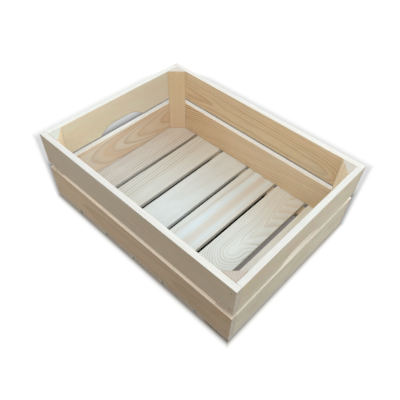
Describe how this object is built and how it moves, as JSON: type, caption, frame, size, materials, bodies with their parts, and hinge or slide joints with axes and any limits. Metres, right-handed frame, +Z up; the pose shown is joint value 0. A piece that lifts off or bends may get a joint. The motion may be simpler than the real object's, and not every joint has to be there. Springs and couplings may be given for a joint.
{
  "type": "wooden fruit crate",
  "caption": "Open-topped slatted softwood fruit crate: two courses of boards on corner posts, slatted floor on runners, an arched hand hole in each end.",
  "frame": {"origin": "on the floor plane under the middle of the crate's outline", "axes": "+X along the crate towards its right end, +Y across it from the front side to the back side, +Z up"},
  "size_m": [0.4, 0.297, 0.1483],
  "materials": {
    "pine_tan": "planed raw pine, matt",
    "pine_honey": "planed raw pine with strong summerwood lines, matt",
    "pine_pale": "planed raw pine, matt",
    "pine_cream": "planed raw pine, matt",
    "pine_white": "planed raw spruce-pale pine, matt",
    "pine_post": "sawn raw pine, matt",
    "pine_runner": "sawn raw pine, matt",
    "nail_steel": "bright wire nail, slightly dulled"
  },
  "bodies": {
    "root": {"front_upper_board": "pine_tan", "front_lower_board": "pine_honey", "front_runner": "pine_runner", "back_upper_board": "pine_tan", "back_lower_board": "pine_honey", "back_runner": "pine_runner", "left_end_upper_board": "pine_pale", "left_end_lower_board": "pine_honey", "right_end_upper_board": "pine_pale", "right_end_lower_board": "pine_honey", "floor_slat_1": "pine_cream", "floor_slat_2": "pine_cream", "floor_slat_3": "pine_white", "floor_slat_4": "pine_white", "floor_slat_5": "pine_white", "floor_slat_6": "pine_pale", "corner_post_front_left": "pine_post", "corner_post_front_right": "pine_post", "corner_post_back_left": "pine_post", "corner_post_back_right": "pine_post", "front_upper_nail_1": "nail_steel", "front_upper_nail_2": "nail_steel", "front_upper_nail_3": "nail_steel", "front_upper_nail_4": "nail_steel", "front_lower_nail_1": "nail_steel", "front_lower_nail_2": "nail_steel", "front_lower_nail_3": "nail_steel", "front_lower_nail_4": "nail_steel", "slat_nail_front_1": "nail_steel", "slat_nail_front_2": "nail_steel", "slat_nail_front_3": "nail_steel", "slat_nail_front_4": "nail_steel", "slat_nail_front_5": "nail_steel", "slat_nail_front_6": "nail_steel", "runner_nail_front_left": "nail_steel", "runner_nail_front_right": "nail_steel", "back_upper_nail_1": "nail_steel", "back_upper_nail_2": "nail_steel", "back_upper_nail_3": "nail_steel", "back_upper_nail_4": "nail_steel", "back_lower_nail_1": "nail_steel", "back_lower_nail_2": "nail_steel", "back_lower_nail_3": "nail_steel", "back_lower_nail_4": "nail_steel", "slat_nail_back_1": "nail_steel", "slat_nail_back_2": "nail_steel", "slat_nail_back_3": "nail_steel", "slat_nail_back_4": "nail_steel", "slat_nail_back_5": "nail_steel", "slat_nail_back_6": "nail_steel", "runner_nail_back_left": "nail_steel", "runner_nail_back_right": "nail_steel", "left_end_upper_nail_1": "nail_steel", "left_end_upper_nail_2": "nail_steel", "left_end_lower_nail_1": "nail_steel", "left_end_lower_nail_2": "nail_steel", "right_end_upper_nail_1": "nail_steel", "right_end_upper_nail_2": "nail_steel", "right_end_lower_nail_1": "nail_steel", "right_end_lower_nail_2": "nail_steel"}
  },
  "joints": []
}
